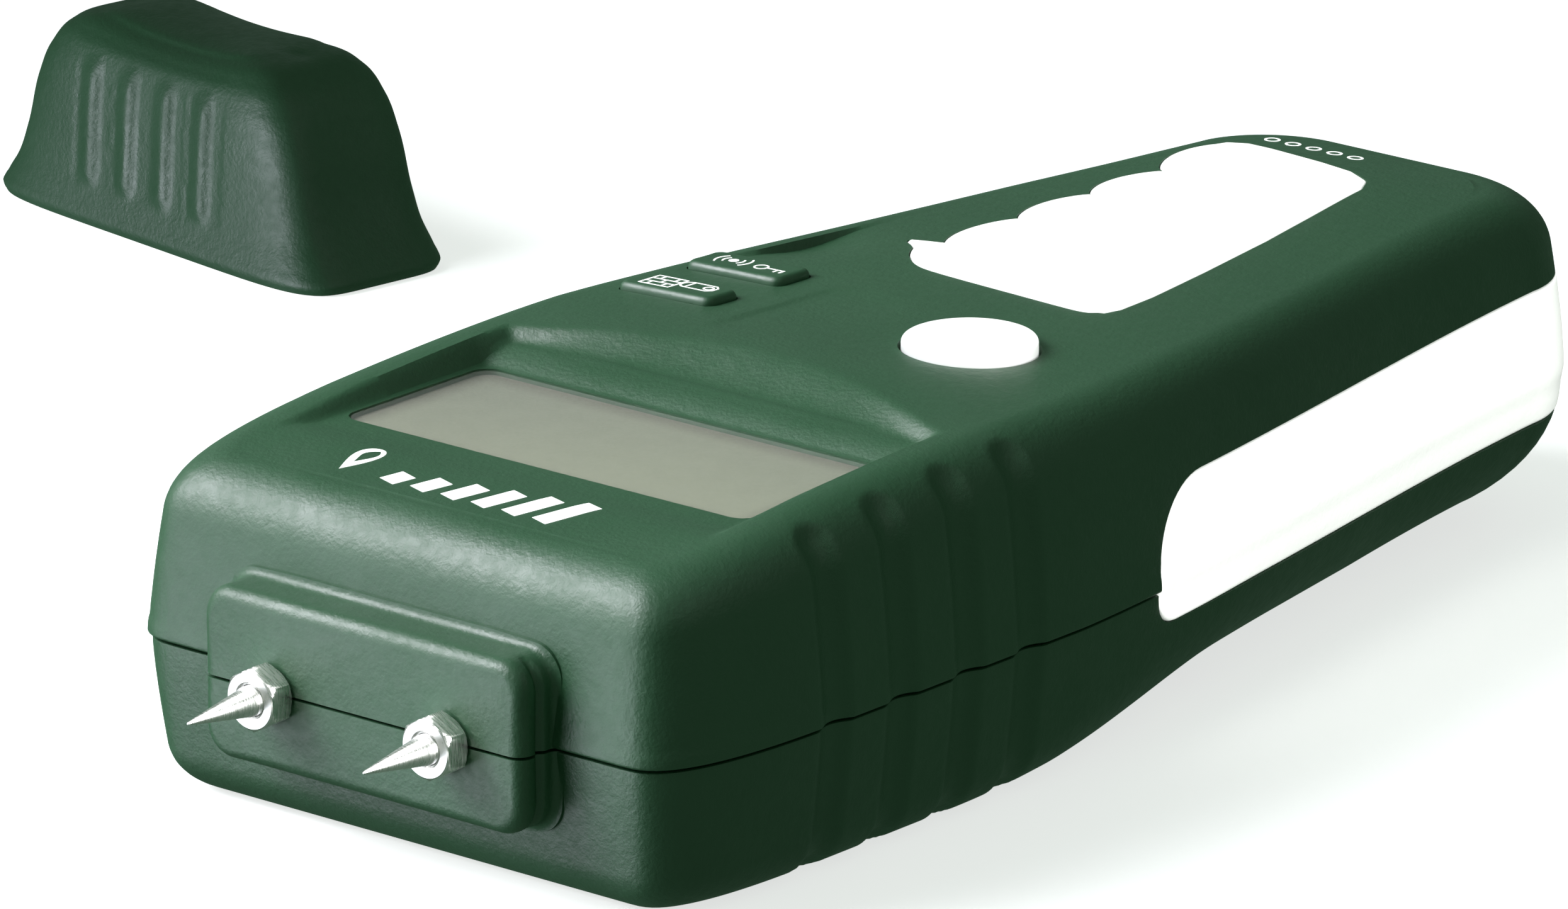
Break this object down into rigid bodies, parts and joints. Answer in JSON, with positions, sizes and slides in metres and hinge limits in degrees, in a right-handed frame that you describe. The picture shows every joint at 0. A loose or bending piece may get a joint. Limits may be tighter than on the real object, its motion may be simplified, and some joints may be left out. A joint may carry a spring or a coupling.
{
  "type": "moisture meter",
  "caption": "Handheld pin moisture meter with a display head, tapered grip handle, press keys, sliding battery door and a separate pin cap standing beside it.",
  "frame": {"origin": "on the flat underside of the lower casing, midway between the front end face and the end of the handle, on the centre plane", "axes": "+Z out of the display side, -Y the way the pins point, +X to the right when the pins point towards the viewer"},
  "size_m": [0.2119, 0.1719, 0.0371],
  "materials": {
    "casing_green": "fine moulded grain",
    "mode_key_green": "fine moulded grain, white printed symbols",
    "soft_white": "satin soft-touch",
    "key_white": "satin",
    "window_clear": "clear",
    "display_grey": "satin, blank",
    "frame_white": "plain",
    "board_green": "solder mask",
    "black_plastic": "plain",
    "black_rubber": "plain",
    "red_plastic": "plain",
    "nickel_steel": "bright plated",
    "brass": "turned",
    "battery_case": "plain sleeve"
  },
  "bodies": {
    "housing": {"battery": "battery_case", "battery_lead_black": "black_plastic", "battery_lead_red": "red_plastic", "battery_snap": "black_plastic", "board_screw_1": "nickel_steel", "board_screw_2": "nickel_steel", "bottom_shell": "casing_green", "buzzer": "black_plastic", "case_screw_1": "nickel_steel", "case_screw_2": "nickel_steel", "case_screw_3": "nickel_steel", "case_screw_4": "nickel_steel", "circuit_board": "board_green", "display_holder": "frame_white", "display_panel": "display_grey", "display_window": "window_clear", "handle_grip": "soft_white", "left_pin": "nickel_steel", "left_pin_lead": "red_plastic", "left_pin_nut": "nickel_steel", "left_pin_socket": "brass", "main_chip": "black_plastic", "mode_switch": "black_plastic", "power_switch": "black_plastic", "right_pin": "nickel_steel", "right_pin_lead": "red_plastic", "right_pin_nut": "nickel_steel", "right_pin_socket": "brass", "side_grip": "soft_white", "sound_switch": "black_plastic", "top_shell": "casing_green", "zebra_connector": "black_rubber"},
    "cap": {"cap": "casing_green"},
    "power_key": {"power_button": "key_white"},
    "mode_key": {"mode_button": "mode_key_green"},
    "sound_key": {"sound_button": "mode_key_green"},
    "door": {"battery_door": "casing_green"}
  },
  "joints": [
    {"name": "cap_lift", "type": "slide", "parent": "housing", "child": "cap", "axis": [0, 0, 1], "range_m": [0, 0.08]},
    {"name": "power_press", "type": "slide", "parent": "housing", "child": "power_key", "axis": [0, 0, -1], "range_m": [0, 0.0008], "stiffness_N_per_m": 1500, "springref_m": -0.0004},
    {"name": "mode_press", "type": "slide", "parent": "housing", "child": "mode_key", "axis": [0, 0, -1], "range_m": [0, 0.0008], "stiffness_N_per_m": 1500, "springref_m": -0.0004},
    {"name": "sound_press", "type": "slide", "parent": "housing", "child": "sound_key", "axis": [0, 0, -1], "range_m": [0, 0.0008], "stiffness_N_per_m": 1500, "springref_m": -0.0004},
    {"name": "battery_door_slide", "type": "slide", "parent": "housing", "child": "door", "axis": [0, 1, 0], "range_m": [0, 0.062]}
  ]
}
